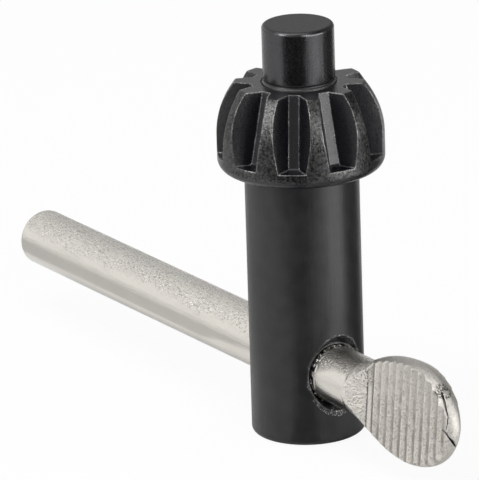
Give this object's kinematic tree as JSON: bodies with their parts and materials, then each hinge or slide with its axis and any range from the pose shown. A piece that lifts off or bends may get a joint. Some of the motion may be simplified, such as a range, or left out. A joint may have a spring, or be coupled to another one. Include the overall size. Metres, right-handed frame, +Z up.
{
  "type": "drill chuck key",
  "caption": "Drill chuck key: a black steel shank with a bevel pinion head and a round pilot, cross-drilled for a pressed-in bar that ends in a ridged thumb paddle.",
  "frame": {"origin": "centre of the shank's bottom face", "axes": "+Z up the body to the pilot, +X along the bar to the thumb paddle"},
  "size_m": [0.0664, 0.0146, 0.0371],
  "materials": {
    "black_oxide_steel": "black oxide, fine matte grain, worn brighter on the tooth edges",
    "plated_steel": "satin bright plating over a drawn bar"
  },
  "bodies": {
    "root": {"key_body": "black_oxide_steel", "handle_bar": "plated_steel"}
  },
  "joints": []
}
